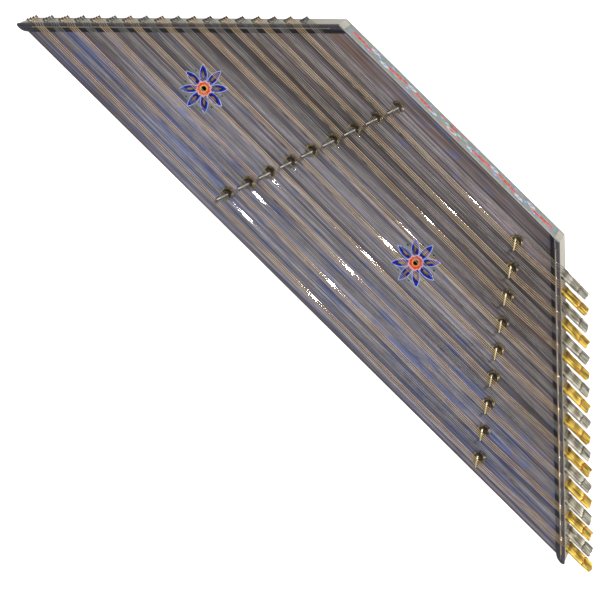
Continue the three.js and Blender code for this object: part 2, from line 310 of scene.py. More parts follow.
def rgb(hex_colour):
    """A linear colour from its usual hexadecimal form."""
    parts = [int(hex_colour[i : i + 2], 16) / 255 for i in (1, 3, 5)]
    linear = [p / 12.92 if p <= 0.04045 else ((p + 0.055) / 1.055) ** 2.4 for p in parts]
    return (*linear, 1.0)


class Look:
    """A material under construction: its node tree and its surface shader."""

    def __init__(self, name, **surface):
        self.material = bpy.data.materials.new(name)
        self.material.use_nodes = True
        self.tree = self.material.node_tree
        self.tree.nodes.clear()
        self.shader = self.node("BsdfPrincipled")
        output = self.node("OutputMaterial")
        self.tree.links.new(self.shader.outputs[0], output.inputs[0])
        for key, value in surface.items():
            self.set(key.replace("_", " "), value)

    def node(self, kind, inputs=None, **settings):
        return add_node(self.tree, kind, inputs, **settings)

    def set(self, name, value):
        feed(self.tree, self.shader.inputs[name], value)

    def place(self, scale=(1, 1, 1), turn=0.0):
        """The object's own coordinates in metres, turned about Z and scaled."""
        own = self.node("TexCoord").outputs["Object"]
        inputs = {"Vector": own, "Rotation": (0, 0, turn)}
        turned_round = self.node("Mapping", inputs).outputs[0]
        return self.node("Mapping", {"Vector": turned_round, "Scale": scale}).outputs[0]

    def noise(self, scale, turn=0.0, detail=4.0, roughness=0.55, distortion=0.0):
        """Noise over the object's own place, with so many features to a metre on each axis."""
        inputs = {"Vector": self.place(scale, turn), "Scale": 1.0, "Detail": detail}
        inputs.update({"Roughness": roughness, "Distortion": distortion})
        return self.node("TexNoise", inputs).outputs["Fac"]

    def ramp(self, value, *stops):
        """A colour that follows stops of (place, colour)."""
        made = self.node("ValToRGB", {"Fac": value})
        elements = made.color_ramp.elements
        while len(elements) < len(stops):
            elements.new(0.5)
        for element, (place, colour) in zip(elements, stops):
            element.position = place
            element.color = rgb(colour)
        return made.outputs["Color"]

    def mix(self, factor, a, b, blend="MIX"):
        inputs = {0: factor, 6: a, 7: b}
        return self.node("Mix", inputs, data_type="RGBA", blend_type=blend).outputs[2]

    def math(self, operation, a, b=0.0, clamp=False):
        return self.node("Math", {0: a, 1: b}, operation=operation, use_clamp=clamp).outputs[0]

    def times(self, a, b, clamp=False):
        return self.math("MULTIPLY", a, b, clamp)

    def plus(self, a, b, clamp=False):
        return self.math("ADD", a, b, clamp)

    def span(self, value, low, high, to_low=0.0, to_high=1.0):
        inputs = {0: value, 1: low, 2: high, 3: to_low, 4: to_high}
        return self.node("MapRange", inputs).outputs[0]

    def axis(self, name, vector=None):
        """One coordinate of a vector, or of the object's own place in metres."""
        return self.node("SeparateXYZ", {0: vector or self.place()}).outputs[name]

    def bump(self, height, distance_mm):
        inputs = {"Height": height, "Distance": distance_mm * MM, "Strength": 1.0}
        self.set("Normal", self.node("Bump", inputs).outputs[0])

    def edge_wear(self, radius_mm):
        """Near 1 close to an edge and 0 on a flat face."""
        rounded = self.node("Bevel", {"Radius": radius_mm * MM}, samples=4).outputs[0]
        flat = self.node("NewGeometry").outputs["Normal"]
        dot = self.node("VectorMath", {0: rounded, 1: flat}, operation="DOT_PRODUCT")
        return self.span(dot.outputs["Value"], 0.99, 0.86)


def wood(name, dark, middle_tone, light, turn=0.0, roughness=0.5):
    """Straight-grained wood: broad figure, fine lines and pores along one direction."""
    look = Look(name)
    fine = look.noise((7, 625, 625), turn, detail=5)
    broad = look.noise((1.4, 26, 26), turn, detail=3, distortion=0.4)
    pores = look.noise((55, 1500, 1500), turn, detail=2)
    tone = look.mix(0.45, fine, broad)
    colour = look.ramp(tone, (0.3, dark), (0.5, middle_tone), (0.72, light))
    pore_mask = look.span(pores, 0.36, 0.27)
    look.set("Base Color", look.mix(look.times(pore_mask, 0.55), colour, dark))
    look.set("Roughness", look.span(fine, 0.25, 0.75, roughness + 0.1, roughness - 0.06))
    look.bump(look.math("SUBTRACT", fine, pore_mask), 0.06)
    return look.material


def metal(name, colour, roughness, tarnish):
    """Polished metal with fine scratches and a little tarnish."""
    look = Look(name, Metallic=1.0)
    cloud = look.noise((90, 90, 90))
    lines = look.noise((900, 3000, 3000), detail=2)
    dull = look.span(cloud, 0.45, 0.75)
    look.set("Base Color", look.mix(dull, colour, tarnish))
    rough = look.plus(roughness, look.times(dull, 0.12))
    look.set("Roughness", look.plus(rough, look.times(lines, 0.04)))
    look.bump(lines, 0.002)
    return look.material


def wire(name, colour, tarnish):
    """Drawn wire: bright enough to mirror a lamp, with duller and brighter lengths."""
    look = Look(name, Metallic=1.0)
    cloud = look.noise((35, 300, 300), detail=3)
    dull = look.span(cloud, 0.4, 0.7)
    look.set("Base Color", look.mix(dull, colour, tarnish))
    look.set("Roughness", look.span(cloud, 0.3, 0.7, 0.03, 0.045))
    return look.material


def pin_metal(name, colour, tarnish, grime):
    """Plated pins, streaked along their length, with painted shade where they crowd together and on their
    edge-on sides.
    """
    look = Look(name, Metallic=0.85)
    cloud = look.noise((120, 120, 120))
    brushed = look.noise((160, 2400, 2400), detail=3)
    colours = look.ramp(look.mix(0.5, cloud, brushed), (0.36, tarnish), (0.62, colour))
    streaks = look.noise((45, 520, 520), detail=3, roughness=0.6)
    colours = look.mix(look.span(streaks, 0.5, 0.4, 0.0, 0.85), colours, grime)
    # Painted shade: darker where pins crowd together, and darker still on sides turned edge-on.
    gap_occlusion = look.node("AmbientOcclusion", {"Distance": PIN_GAP * MM}, samples=6).outputs["AO"]
    gap_shade = look.span(gap_occlusion, 0.2, 0.65, 0.3, 1.0)
    edge_on = look.node("LayerWeight", {"Blend": 0.5}).outputs["Facing"]
    shade = look.times(gap_shade, look.span(edge_on, 0.3, 0.8, 1.0, 0.1))
    look.set("Base Color", look.mix(1.0, colours, shade, blend="MULTIPLY"))
    look.set("Roughness", look.span(brushed, 0.3, 0.7, 0.42, 0.3))
    look.bump(brushed, 0.02)
    return look.material


def gilt(name, colour, ground):
    """Gilding worn through to its dark ground in places."""
    look = Look(name, Coat_Weight=0.3, Coat_Roughness=0.2)
    worn = look.noise((260, 260, 260), detail=5, roughness=0.65)
    kept = look.span(worn, 0.46, 0.54)
    look.set("Base Color", look.mix(kept, ground, colour))
    look.set("Metallic", kept)
    look.set("Roughness", look.span(worn, 0.3, 0.7, 0.45, 0.28))
    look.bump(kept, 0.02)
    return look.material


def paint(name, colour, second, roughness, coat, shine):
    """Hand-laid paint: uneven colour, brush lines and a slight gloss."""
    look = Look(name, Coat_Weight=coat, Coat_Roughness=0.3, Specular_IOR_Level=shine)
    cloud = look.noise((140, 140, 140), detail=5)
    brush = look.noise((500, 2200, 900), detail=3)
    tone = look.mix(0.35, cloud, brush)
    look.set("Base Color", look.ramp(tone, (0.36, colour), (0.66, second)))
    look.set("Roughness", look.span(cloud, 0.3, 0.7, roughness - 0.06, roughness + 0.1))
    look.bump(brush, 0.03)
    return look.material


def soundboard_wood():
    """Thin dark-stained veneer: straight grain, a painted sheen that greys the middle, and blue patches at
    the long side.
    """
    look = Look("soundboard_wood", Coat_Weight=0.1, Coat_Roughness=0.4)
    x, y = look.axis("X"), look.axis("Y")
    grain = look.noise((3.2, 320, 320), roughness=0.65)
    bands = look.noise((1.6, 60, 60), detail=3, distortion=0.2)
    flecks = look.noise((26, 700, 700), detail=3)
    tone = look.mix(0.3, look.mix(0.3, grain, flecks), bands)
    tone = look.span(tone, 0.37, 0.63)
    brown = look.ramp(tone, (0.0, "#1f1918"), (0.5, "#463c3c"), (1.0, "#776b6a"))
    grey = look.ramp(tone, (0.0, "#3b373d"), (0.5, "#6c6770"), (1.0, "#a39eaa"))
    russet = look.ramp(tone, (0.0, "#261a16"), (1.0, "#7d6052"))
    blue = look.ramp(tone, (0.0, "#12204e"), (0.5, "#364a82"), (1.0, "#6d7fb0"))
    # Russet figure shows in single bands.
    figure = look.noise((1.1, 85, 85), detail=2)
    brown = look.mix(look.span(figure, 0.54, 0.66, 0.0, 0.7), brown, russet)
    # Painted sheen greys and lightens the middle; the board is greyer towards the long side and in random
    # patches too.
    off_sheen_middle = look.math("POWER", look.times(x, 3.2), 2.0)
    below = look.times(look.plus(y, 0.075), 7.5)
    off_sheen_middle = look.plus(off_sheen_middle, look.math("POWER", below, 2.0))
    near_long = look.span(y, 0.04, FRONT_Y * MM)
    cloud = look.noise((7, 15, 15), detail=5, roughness=0.6)
    patchy = look.span(cloud, 0.45, 0.7, 0.0, 0.4)
    sheen_and_greying = look.plus(look.span(off_sheen_middle, 1.1, 0.1), patchy)
    sheen_and_greying = look.plus(sheen_and_greying, look.times(near_long, 0.35), clamp=True)
    colour = look.mix(sheen_and_greying, brown, grey)
    # Blue stain in ragged patches drawn out along the grain.
    ragged = look.noise((28, 110, 110), detail=6, roughness=0.7)
    spread = look.noise((4.5, 11, 11), detail=2)
    patch = look.plus(ragged, look.times(near_long, 0.2))
    patch = look.plus(patch, look.times(spread, 0.35))
    stain = look.span(patch, 0.8, 0.92, 0.0, 0.68)
    # The blue thins out again in the last stretch before the long side.
    bare = look.span(y, -0.1, FRONT_Y * MM, 1.0, 0.35)
    colour = look.mix(look.times(stain, bare, clamp=True), colour, blue)
    lines = look.noise((4.5, 620, 620), detail=1)
    colour = look.mix(1.0, colour, look.span(lines, 0.36, 0.64, 0.62, 1.35), blend="MULTIPLY")
    # A little paler towards the short side, and darker in the last stretch by the player.
    lifted, dimmed = look.span(y, 0.02, 0.13, 1.0, 1.45), look.span(y, -0.1, -0.13, 1.0, 0.78)
    by_depth = look.times(lifted, dimmed)
    colour = look.mix(1.0, colour, by_depth, blend="MULTIPLY")
    rubbed = look.span(y, FRONT_Y * MM + 0.0035, FRONT_Y * MM + 0.0015, 0.0, 0.7)
    colour = look.mix(rubbed, colour, "#40322c")
    pores = look.noise((50, 1500, 1500), detail=2)
    pore_mask = look.span(pores, 0.4, 0.28)
    colour = look.mix(look.times(pore_mask, 0.6), colour, "#1d181a")
    look.set("Base Color", colour)
    look.set("Roughness", look.span(grain, 0.3, 0.7, 0.55, 0.42))
    look.bump(look.math("SUBTRACT", grain, pore_mask), 0.06)
    return look.material


def strip_wood():
    """Dark hardwood of the nut strips, with painted light on the outer slope and painted shade, nearly
    black, on the inner slope.
    """
    look = Look("nut_strip_wood", Coat_Weight=0.2, Coat_Roughness=0.3)
    fine = look.noise((300, 300, 900), detail=5)
    # Painted light and shade: a lighter copy of the wood where the slope faces outwards, a nearly black
    # one on the inner slope.
    inner = look.ramp(fine, (0.3, "#0b0c13"), (0.7, "#20222f"))
    outer = look.ramp(fine, (0.3, "#191922"), (0.7, "#2f2e3a"))
    facing = look.axis("X", look.node("NewGeometry").outputs["Normal"])
    outwards = look.times(facing, look.math("SIGN", look.axis("X")))
    colour = look.mix(look.span(outwards, 0.0, 0.2), inner, outer)
    wear = look.times(look.edge_wear(0.5), look.span(fine, 0.4, 0.6))
    look.set("Base Color", look.mix(look.times(wear, 0.45), colour, "#7a5a3f"))
    look.set("Roughness", look.span(fine, 0.3, 0.7, 0.35, 0.5))
    look.bump(fine, 0.05)
    return look.material


def bridge_wood():
    """Nearly black lacquered turning, with fine rings left by the lathe."""
    look = Look("bridge_wood", Coat_Weight=0.6, Coat_Roughness=0.12)
    rings = look.noise((30, 30, 2200), detail=2)
    figure = look.noise((180, 180, 60))
    look.set("Base Color", look.ramp(figure, (0.3, "#0f0b09"), (0.75, "#33241b")))
    look.set("Roughness", look.span(rings, 0.3, 0.7, 0.28, 0.4))
    look.bump(rings, 0.02)
    return look.material


# ---- Stringed parts ----
def string_y(course, string):
    from_middle = string - (STRINGS_PER_COURSE - 1) / 2
    return bridge_foot(course).y + from_middle * STRING_SPACING


def tuning_pin_place(course, string):
    pin = middle(numbered("pin", course))
    return Vector((half_width(pin.y), pin.y, pin.z - string * PIN_STEP))


def hitch_place(course, string):
    y = bridge_foot(course).y - HITCH_SHIFT
    return Vector((-half_width(y), y, TOP - HITCH_DEPTH - string * HITCH_STEP))


def over_rod(side, y):
    """Points over a nut rod at one Y, from the outside to the top of the rod."""
    x = side_x(side, y, NUT_ROD_ACROSS)
    out = (ROD_RADIUS + STRING_RADIUS) / sin(SIDE_ANGLE)
    up = ROD_RADIUS + STRING_RADIUS + TOUCH
    angles = [radians(a) for a in (28, 48, 68, 88)]
    points = [Vector((x + side * out * cos(a), y, ROD_Z + up * sin(a))) for a in angles]
    edge = Vector((side_x(side, y) + side * (STRING_RADIUS + 0.6), y, TOP + 1.6))
    return [edge, *points]


def eye_loop(nail, aim):
    """The string's twisted eye: its free end, the twist, and the loop round the nail."""
    centre = nail - Vector((LOOP_PLANE, 0, 0))
    away = aim - centre
    direction = away.normalized()
    heading = atan2(away.z, away.y)
    radius = HITCH_RADIUS + STRING_RADIUS + TOUCH
    side_a = direction.orthogonal().normalized()
    side_b = direction.cross(side_a)
    points = []
    steps = 8 * TWIST_TURNS
    for i in range(steps + 1):
        along = TWIST_START + TWIST_LENGTH * (1 - i / steps)
        a = 2 * pi * TWIST_TURNS * i / steps
        wrap = (side_a * cos(a) + side_b * sin(a)) * (2 * STRING_RADIUS)
        points.append(centre + direction * along + wrap)
    for i in range(13):
        a = heading + EYE_OPENING + 2 * (pi - EYE_OPENING) * i / 12
        points.append(centre + Vector((0, cos(a), sin(a))) * radius)
    points.append(centre + direction * TWIST_START)
    return points


def braced(points, margin=0.5, long_span=8):
    """Adds points close to both ends of long spans, so that they shade as straight."""
    path = [points[0]]
    for start, end in zip(points, points[1:]):
        step = end - start
        if step.length > long_span:
            inset = step.normalized() * margin
            path += [start + inset, end - inset]
        path.append(end)
    return path


def string_path(course, string):
    y = string_y(course, string)
    left = over_rod(-1, y)
    right = over_rod(1, y)
    bridge = bridge_foot(course)
    row = row_direction(metal_of(course))
    saddle_x = bridge.x + (y - bridge.y) * row.x / row.y
    flat = BRIDGE_TRAVEL + SADDLE_RADIUS + 1
    height = SADDLE_TOP + STRING_RADIUS + TOUCH
    pin = tuning_pin_place(course, string)
    meets_coil = pin + Vector((COIL_START, COIL_RADIUS, 0))
    over_bridge = [Vector((saddle_x + step, y, height)) for step in (-flat, 0, flat)]
    eye = eye_loop(hitch_place(course, string), left[0])
    return [*eye, *braced([*left, *over_bridge, *reversed(right)]), meets_coil]


def row_direction(metal_name):
    """Unit vector along a row of bridges, in the plane of the soundboard."""
    row = courses_of(metal_name)
    return (bridge_foot(row[-1]) - bridge_foot(row[0])).normalized()


def strings(metal_name, material):
    shape = Shape()
    for course in courses_of(metal_name):
        for string in range(STRINGS_PER_COURSE):
            tube(shape, string_path(course, string), STRING_RADIUS, STRING_SIDES)
    piece(f"{metal_name}_string_set", shape, [material], "case", metal_name, f"{metal_name}_strings")


def add_tuning_pin(shape, course, string):
    """One pin and its coil: the threaded foot, shaft, groove and squared head."""
    at = tuning_pin_place(course, string)
    driven = ((course * 5 + string * 7) % 4 - 1.5) * 0.5
    place = Matrix.Translation(at + Vector((driven, 0, 0))) @ Matrix.Rotation(pi / 2, 4, "Y")
    r = PIN_RADIUS
    profile = [(-PIN_BURIED, r * 0.9), (-PIN_BURIED + 1, r)]
    for i in range(THREADS):
        height = THREAD_FOOT + i * THREAD_PITCH
        profile += [(height, r), (height + THREAD_PITCH / 2, r * 0.93)]
    profile += [(THREAD_FOOT + THREADS * THREAD_PITCH, r), (PIN_SHAFT - 2.2, r)]
    profile += [(PIN_SHAFT - 1.5, r * 0.8), (PIN_SHAFT - 0.6, r * 0.8), (PIN_SHAFT, r)]
    squareness = [2] * len(profile)
    head = [(1.2, 1.0), (2.4, 0.86), (PIN_HEAD - 1.2, 0.76), (PIN_HEAD - 0.3, 0.66)]
    head += [(PIN_HEAD, 0.5)]
    profile += [(PIN_SHAFT + height, r * share) for height, share in head]
    squareness += [2.6, 6, 7, 6, 5]
    turn = radians((course * 37 + string * 23) % 90)
    # The groove at the foot of the head has its own look.
    looks = [int(PIN_SHAFT - 1.6 < height < PIN_SHAFT - 0.5) for height, _ in profile[:-1]]
    turned(shape, profile, 16, place, looks=looks, squareness=squareness, turn=turn)
    add_coil(shape, at)


def add_coil(shape, at):
    steps = int(12 * COIL_TURNS)
    points = []
    for i in range(steps + 1):
        a = -2 * pi * COIL_TURNS * i / steps
        x = COIL_START + COIL_PITCH * COIL_TURNS * i / steps
        round_pin = Vector((0, cos(a), sin(a))) * COIL_RADIUS
        points.append(at + Vector((x, 0, 0)) + round_pin)
    tube(shape, points, STRING_RADIUS, STRING_SIDES)


def tuning_pins(metal_name, metal_look, groove_look):
    fixed = Shape()
    for course in courses_of(metal_name):
        single = Shape()
        add_tuning_pin(single, course, 0)
        node = numbered("pin", course)
        piece(f"{node}_turned", single, [metal_look, groove_look], node, metal_name, node)
        for string in range(1, STRINGS_PER_COURSE):
            add_tuning_pin(fixed, course, string)
    name = f"{metal_name}_pins_fixed"
    piece(name, fixed, [metal_look, groove_look], "case", metal_name, "fixed_tuning_pins")


def hitch_nails(material):
    shape = Shape()
    for course in range(COURSES):
        for string in range(STRINGS_PER_COURSE):
            at = hitch_place(course, string)
            place = Matrix.Translation(at) @ Matrix.Rotation(-pi / 2, 4, "Y")
            r, head, tip = HITCH_RADIUS, HITCH_HEAD_RADIUS, HITCH_EXPOSED
            profile = [(-6, r * 0.6), (-5, r), (tip - 1.3, r), (tip - 1.0, head * 0.92)]
            profile += [(tip - 0.7, head), (tip - 0.25, head * 0.8), (tip, head * 0.35)]
            turned(shape, profile, 12, place)
    piece("hitch_nails", shape, [material], "case", "steel", "hitch_pins")


# ---- Nuts ----
def nut_section():
    """The strip's section: (distance in from the outer edge, height above the board)."""
    outer = [(0.0, 0.0), (0.0, 1.0), (0.7, 2.4), (1.7, 4.1), (2.4, 5.1), (3.0, 5.7)]
    crest = [(NUT_ROD_ACROSS, 5.5), (5.0, 6.0), (5.7, 5.7)]
    inner = [(6.6, 4.8), (8.4, 3.0), (9.8, 1.6), (NUT_WIDTH, 0.9), (NUT_WIDTH, 0.0)]
    return outer + crest + inner


def nut_strip(side, name, material, node):
    """The ridge beside a slanted side, flush at the short side and rounded at the long one."""
    end = FRONT_Y - NUT_OVERHANG
    stations = [REAR_Y, REAR_Y - 1]
    stations += [REAR_Y - 1 - (REAR_Y - end - NUT_END_ROUNDING - 1) * i / 12 for i in range(1, 13)]
    stations += [end + NUT_END_ROUNDING * (1 - sin(pi / 2 * i / 6)) for i in range(1, 7)]
    rings = []
    for y in stations:
        into_end = max(0.0, 1 - (y - end) / NUT_END_ROUNDING)
        full = sqrt(max(0.0, 1 - into_end**2))
        rise = 0.35 + 0.65 * full
        ring = []
        for across, height in nut_section():
            centre = NUT_WIDTH * 0.62
            across = centre + (across - centre) * (0.45 + 0.55 * full)
            ring.append(Vector((side_x(side, y, across), y, TOP + TOUCH + height * rise)))
        rings.append(ring)
    shape = Shape()
    shape.rings(rings)
    piece(name, shape, [material], "case", "strip_wood", node, sharp=30)


def nut_rod(side, name, material, node, slot):
    low, high = box_mm(node)
    inset = ROD_RADIUS * 0.7
    ends = [Vector((side_x(side, y, NUT_ROD_ACROSS), y, ROD_Z)) for y in (low.y + inset, high.y - inset)]
    shape = Shape()
    rounded_rod(shape, *ends, ROD_RADIUS, 16)
    piece(name, shape, [material], "case", slot, node)


# ---- Bridges ----
def cradle(shape, centre, row, foot):
    """The dark bed that carries a saddle rod: deepest over the cup, and thin at its ends."""
    across = Vector((-row.y, row.x, 0)).normalized() * CRADLE_WIDTH / 2
    rings = []
    for share in (-1.08, -1.04, -0.9, -0.4, 0.4, 0.9, 1.04, 1.08):
        slim = 0.55 if abs(share) > 1.05 else 1.0
        deep = foot if abs(share) < 0.5 else centre.z - 2.2
        at = centre + row * share
        outline = [(0.7, deep), (1.0, centre.z - 1.1), (0.75, centre.z - 0.15)]
        outline += [(-out, z) for out, z in reversed(outline)]
        rings.append([Vector((*(at + across * slim * out).xy, z)) for out, z in outline])
    shape.rings(rings)


def bridge(course, wood_look, ring_look, saddle_look):
    node = numbered("bridge", course)
    at = bridge_foot(course)
    place = Matrix.Translation(Vector((at.x, at.y, TOP + TOUCH)))
    base = BRIDGE_BASE_RADIUS
    neck = BRIDGE_HEIGHT - SADDLE_RADIUS
    gold = 1
    # (height, share of the foot's radius, material of the stretch up to the next ring)
    foot = [(0.0, 0.94, 0), (0.35, 1.0, 0), (1.3, 1.0, gold), (1.6, 0.93, 0), (1.9, 0.84, gold)]
    foot += [(2.05, 0.78, 0), (3.0, 0.66, 0), (4.2, 0.5, 0), (5.8, 0.41, 0)]
    # Between foot and crown the heights are shares of the neck's.
    stem = [(0.36, 0.385, gold), (0.4, 0.45, gold), (0.44, 0.385, 0), (0.55, 0.4, 0)]
    stem += [(0.68, 0.49, 0), (0.79, 0.61, 0), (0.86, 0.68, 0)]
    stem += [(0.91, 0.69, gold), (0.95, 0.62, gold), (0.97, 0.56, 0)]
    crown = [(neck + 0.35, 0.5, 0), (neck + 0.5, 0.3, 0), (neck + 0.5, 0.05, 0)]
    profile = foot + [(neck * up, share, look) for up, share, look in stem] + crown
    body = Shape()
    outline = [(height, base * share) for height, share, _ in profile]
    turned(body, outline, 32, place, looks=[look for _, _, look in profile[:-1]])
    top = level_middle(node, highest=True)
    row = row_direction(metal_of(course)) * SADDLE_LENGTH / 2
    centre = Vector((top.x, top.y, SADDLE_TOP - SADDLE_RADIUS))
    cradle(body, centre, row, TOP + neck + 0.2)
    piece(f"{node}_body", body, [wood_look, ring_look], node, "bridge_wood", node)
    saddle = Shape()
    rounded_rod(saddle, centre - row, centre + row, SADDLE_RADIUS, 16)
    piece(f"{node}_saddle", saddle, [saddle_look], node, "steel")


# ---- Painting in low relief ----
class Canvas:
    """A flat face to paint on. Painted shapes are thin closed solids that stand a little proud."""

    def __init__(self, origin, right, up, out):
        self.origin, self.right, self.up, self.out = map(Vector, (origin, right, up, out))
        self.shape = Shape()

    def at(self, a, b, lift):
        return self.origin + self.right * a + self.up * b + self.out * lift

    def dab(self, a, b, long, wide, look, lift=0.05, height=0.25, turn=0.0, scallops=0, sides=20):
        """An oval touch of paint, with a wavy rim if it has scallops."""
        rim, shoulder = [], []
        for angle in circle(sides):
            wave = 1 + (0.09 * cos(scallops * angle) if scallops else 0)
            x, y = long * wave * cos(angle), wide * wave * sin(angle)
            da = x * cos(turn) - y * sin(turn)
            db = x * sin(turn) + y * cos(turn)
            rim.append(self.at(a + da, b + db, lift))
            shoulder.append(self.at(a + da * 0.8, b + db * 0.8, lift + height * 0.8))
        corners = [*rim, *shoulder, self.at(a, b, lift + height), self.at(a, b, lift - 0.04)]
        top, foot = 2 * sides, 2 * sides + 1
        faces = []
        for i in range(sides):
            j = (i + 1) % sides
            faces.append([i, j, sides + j, sides + i])
            faces.append([sides + i, sides + j, top])
            faces.append([j, i, foot])
        self.shape.add(corners, faces, look)

    def stroke(self, points, width, look):
        """A brush line through points, thin at both ends."""
        last = len(points) - 1
        lift, height = 0.05, 0.2
        rings = []
        for i, (a, b) in enumerate(points):
            after, before = points[min(i + 1, last)], points[max(i - 1, 0)]
            da, db = after[0] - before[0], after[1] - before[1]
            length = hypot(da, db) or 1.0
            share = sin(pi * (0.06 + 0.88 * i / last)) ** 0.6
            na, nb = -db / length * width / 2 * share, da / length * width / 2 * share
            top = lift + height * share
            section = ((na, nb, lift), (na * 0.6, nb * 0.6, top))
            section += ((-na * 0.6, -nb * 0.6, top), (-na, -nb, lift))
            rings.append([self.at(a + da, b + db, up) for da, db, up in section])
        self.shape.rings(rings, look=look)

    def band(self, loop, section, look):
        """A closed section of (offset outwards, lift) pairs carried round a closed loop."""
        count = len(loop)
        rings = []
        for i, (a, b) in enumerate(loop):
            after, before = loop[(i + 1) % count], loop[i - 1]
            da, db = after[0] - before[0], after[1] - before[1]
            length = hypot(da, db) or 1.0
            na, nb = db / length, -da / length
            rings.append([self.at(a + na * off, b + nb * off, lift) for off, lift in section])
        self.shape.rings(rings, look=look, closed=True)

    def collar(self, outer, inner, low, high, look):
        """A flat collar between two loops of one size."""
        rings = []
        for (oa, ob), (ia, ib) in zip(outer, inner):
            rim = (oa + (ia - oa) * 0.08, ob + (ib - ob) * 0.08)
            rings.append(
                [self.at(oa, ob, low), self.at(*rim, high), self.at(ia, ib, high), self.at(ia, ib, low)]
            )
        self.shape.rings(rings, look=look, closed=True)

    def plate(self, loop, low, high, crown, look):
        """A plate filling a loop, its middle line raised by the crown."""
        count = len(loop)
        centre_a = sum(a for a, _ in loop) / count
        centre_b = sum(b for _, b in loop) / count
        corners = [self.at(a, b, low) for a, b in loop]
        corners += [self.at(a, b, high) for a, b in loop]
        for a, b in loop:
            inner = (centre_a + (a - centre_a) * 0.55, centre_b + (b - centre_b) * 0.55)
            corners.append(self.at(*inner, high + crown))
        corners += [self.at(centre_a, centre_b, high + crown * 1.2)]
        faces = [list(reversed(range(count)))]
        for i in range(count):
            j = (i + 1) % count
            faces.append([i, j, count + j, count + i])
            faces.append([count + i, count + j, 2 * count + j, 2 * count + i])
            faces.append([2 * count + i, 2 * count + j, 3 * count])
        self.shape.add(corners, faces, look)


def petal_loop(turn, outline, shift=(0.0, 0.0), steps=10):
    """A petal from the rosette's middle outwards, counter-clockwise: blunt root, pointed tip."""
    root, root_half, along, out, tip = outline
    side = []
    for i in range(steps + 1):
        t = i / steps
        x = (1 - t) ** 2 * root + 2 * t * (1 - t) * along + t**2 * tip
        side.append((x, (1 - t) ** 2 * root_half + 2 * t * (1 - t) * out))
    loop = [(x, -y) for x, y in side[:-1]] + list(reversed(side))
    c, s = cos(turn), sin(turn)
    return [(x * c - y * s + shift[0], x * s + y * c + shift[1]) for x, y in loop]


ROSETTE_COLOURS = (
    ("rosette_deep_blue", "#04109a", "#1226c4"),
    ("rosette_pale_line", "#86b4e8", "#dfeefc"),
    ("rosette_petal_floor", "#6d5348", "#b3947f"),
    ("rosette_shade_black", "#05050c", "#0c0e1e"),
    ("rosette_red", "#dc2a24", "#f2543e"),
    ("rosette_pink", "#f7a08e", "#fdd2c4"),
    ("rosette_yellow", "#ee8a26", "#f9cc58"),
    ("rosette_teal", "#4c7470", "#6f9a92"),
    ("rosette_green", "#03110e", "#082019"),
)
DEEP_BLUE, PALE_LINE, PETAL_FLOOR, SHADE_BLACK, RED, PINK, YELLOW, TEAL, GREEN = range(9)


def rosette(name, centre, materials):
    canvas = Canvas((*centre, TOP), (1, 0, 0), (0, 1, 0), (0, 0, 1))
    for i in range(PETALS):
        turn = 2 * pi * i / PETALS
        pale, blue, black = (
            petal_loop(turn, outline) for outline in (PALE_OUTLINE, BLUE_OUTLINE, BLACK_OUTLINE)
        )
        # Painted shadow: a black collar lines each recess, widest under its edge on the side away from the
        # player.
        opening = petal_loop(turn, OPEN_OUTLINE, shift=(-0.2, -0.35))
        canvas.collar(pale, blue, 0.02, 0.1, PALE_LINE)
        canvas.collar(blue, black, 0.02, 0.2, DEEP_BLUE)
        canvas.collar(black, opening, -1.5, 0.14, SHADE_BLACK)
        canvas.plate(opening, -PETAL_DEPTH + 0.05, -1.2, 0.3, PETAL_FLOOR)
        between = turn + pi / PETALS
        a, b = DOT_PLACE * cos(between), DOT_PLACE * sin(between)
        canvas.dab(a, b, 1.9, 1.9, TEAL, height=0.12, scallops=6)
        canvas.dab(a, b, 1.2, 1.2, GREEN, lift=0.1, height=0.3)
    flower(canvas)
    piece(name, canvas.shape, materials, "case", "dark_wood", sharp=50)


def flower(canvas):
    """The scalloped flower in the middle, open over the sound hole."""
    count = 12 * FLOWER_SCALLOPS
    # (radius, wave, lift, material of the ring that starts here)
    profile = [
        # Painted shade: black where the flower drops into the sound hole.
        (HOLE_RADIUS, 0.0, 0.02, SHADE_BLACK),
        (HOLE_RADIUS + 0.1, 0.0, 0.5, SHADE_BLACK),
        (HOLE_RADIUS + 0.5, 0.0, 0.62, YELLOW),
        (HOLE_RADIUS + 1.9, 0.1, 0.72, RED),
        (HOLE_RADIUS + 3.0, 0.5, 0.6, RED),
        (FLOWER_RADIUS - 1.5, 1.3, 0.62, PINK),
        (FLOWER_RADIUS - 0.9, 1.5, 0.55, PINK),
        (FLOWER_RADIUS - 0.25, 1.6, 0.38, PINK),
        (FLOWER_RADIUS, 1.6, 0.02, PINK),
    ]
    rings = []
    for radius, wave, lift, _ in profile:
        ring = []
        for angle in circle(count):
            scallop = abs(sin(angle * FLOWER_SCALLOPS / 2))
            r = radius + wave * (scallop - 0.65)
            ring.append(canvas.at(r * cos(angle), r * sin(angle), lift))
        rings.append(ring)
    looks = [look for _, _, _, look in profile]
    canvas.shape.rings(rings, looks=looks, closed=True)


BAND_COLOURS = (
    ("band_ground", "#959b98", "#b9b9b4"),
    ("band_rose", "#e86e74", "#f7a19e"),
    ("band_red", "#d8303c", "#ee5a5c"),
    ("band_teal", "#62b8ae", "#9cdcd2"),
    ("band_green", "#6d998c", "#93b9a8"),
    ("band_blue", "#7090e0", "#a9bcf2"),
    ("band_white", "#d4deea", "#f8fafd"),
    ("band_orange", "#de8a4c", "#f0b080"),
    ("board_edge_highlight", "#d6c8bb", "#efe4da"),
)
GROUND, ROSE, BAND_RED, BAND_TEAL, BAND_GREEN, BAND_BLUE, WHITE, ORANGE, BOARD_EDGE_HIGHLIGHT = range(9)


def small_flower(canvas, a, b, size, petal_look, heart_look, petals=6):
    for angle in circle(petals, 0.3):
        pa, pb = a + size * 0.58 * cos(angle), b + size * 0.58 * sin(angle)
        canvas.dab(pa, pb, size * 0.46, size * 0.34, petal_look, lift=0.16, turn=angle, sides=12)
    canvas.dab(a, b, size * 0.34, size * 0.34, heart_look, lift=0.22, height=0.35, sides=12)


